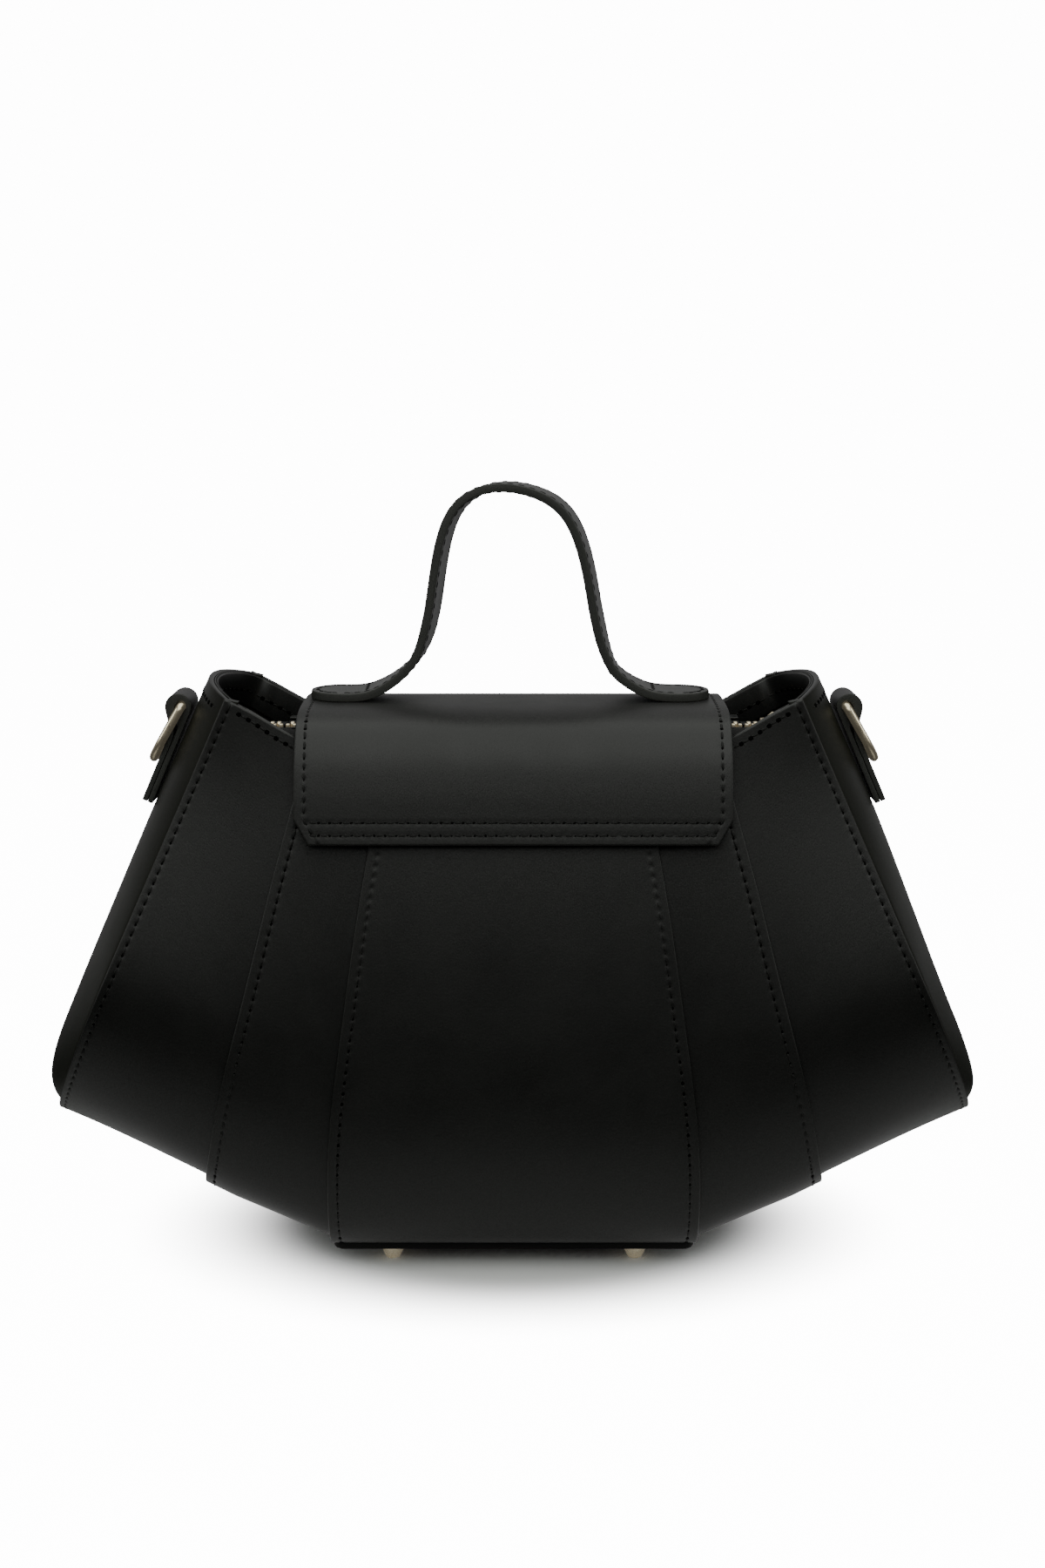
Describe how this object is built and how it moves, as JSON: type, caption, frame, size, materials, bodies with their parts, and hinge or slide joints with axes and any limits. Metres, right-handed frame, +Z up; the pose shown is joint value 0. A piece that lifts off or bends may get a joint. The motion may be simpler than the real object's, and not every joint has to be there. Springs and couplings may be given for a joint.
{
  "type": "satchel",
  "caption": "Fan-shaped leather satchel: overlapping wrap-around strips, tongue gussets, a flap carrying a top handle, zip, ring tabs and a footed base.",
  "frame": {"origin": "on the surface the feet stand on, below the middle of the bag", "axes": "+Z up, +X along the bag's width, -Y towards the pictured back face"},
  "size_m": [0.3662, 0.128, 0.2936],
  "materials": {
    "black_leather": "satin, smooth",
    "edge_painted_leather": "painted edge",
    "lining_leather": "matt",
    "lining_cloth": "matt weave",
    "zip_tape": "herringbone tape",
    "stiffener_board": "bonded board",
    "magnet_steel": "plain",
    "pale_gold": "polished"
  },
  "bodies": {
    "bag": {"centre_panel_back": "black_leather", "centre_panel_front": "black_leather", "left_middle_strip": "black_leather", "right_middle_strip": "black_leather", "left_outer_strip": "black_leather", "right_outer_strip": "black_leather", "left_gusset": "black_leather", "right_gusset": "black_leather", "back_stiffener": "stiffener_board", "front_stiffener": "stiffener_board", "base_board": "stiffener_board", "base_sole": "edge_painted_leather", "feet": "pale_gold", "foot_washers": "pale_gold", "rim_facing": "black_leather", "lining": "lining_cloth", "left_lining_end": "lining_cloth", "right_lining_end": "lining_cloth", "flap_tail": "black_leather", "body_magnet": "magnet_steel", "left_ring_tab": "black_leather", "right_ring_tab": "black_leather", "left_zip_end": "zip_tape", "right_zip_end": "zip_tape", "zip_end_teeth": "pale_gold", "zip_stops": "pale_gold"},
    "lid": {"flap_lid": "black_leather", "flap_lining": "lining_leather", "flap_magnet": "magnet_steel", "handle_upper_layer": "black_leather", "handle_under_layer": "black_leather"},
    "left_ring": {"left_d_ring": "pale_gold"},
    "right_ring": {"right_d_ring": "pale_gold"},
    "zip_back": {"zip_panel_back": "black_leather", "zip_tape_back": "zip_tape", "zip_teeth_back": "pale_gold"},
    "zip_front": {"zip_panel_front": "black_leather", "zip_tape_front": "zip_tape", "zip_teeth_front": "pale_gold"},
    "slider": {"zip_slider": "pale_gold"},
    "puller": {"zip_puller": "pale_gold"}
  },
  "joints": [
    {"name": "flap_fold", "type": "hinge", "parent": "bag", "child": "lid", "pos_m": [0, -0.05472, 0.181], "axis": [1, 0, 0], "range_deg": [0, 120]},
    {"name": "zip_slide", "type": "slide", "parent": "bag", "child": "slider", "axis": [1, 0, 0], "range_m": [-0.202, 0]},
    {"name": "puller_swing", "type": "hinge", "parent": "slider", "child": "puller", "pos_m": [0.10104, 0, 0.2047], "axis": [0, -1, 0], "range_deg": [0, 165]},
    {"name": "zip_back_fold", "type": "hinge", "parent": "bag", "child": "zip_back", "pos_m": [0, -0.03811, 0.193], "axis": [-1, 0, 0], "range_deg": [0, 80]},
    {"name": "zip_front_fold", "type": "hinge", "parent": "bag", "child": "zip_front", "pos_m": [0, 0.03811, 0.193], "axis": [1, 0, 0], "range_deg": [0, 80]},
    {"name": "left_ring_swing", "type": "hinge", "parent": "bag", "child": "left_ring", "pos_m": [-0.1268, 0, 0.20981], "axis": [0, 1, 0], "range_deg": [0, 150]},
    {"name": "right_ring_swing", "type": "hinge", "parent": "bag", "child": "right_ring", "pos_m": [0.1268, 0, 0.20981], "axis": [0, -1, 0], "range_deg": [0, 150]}
  ]
}
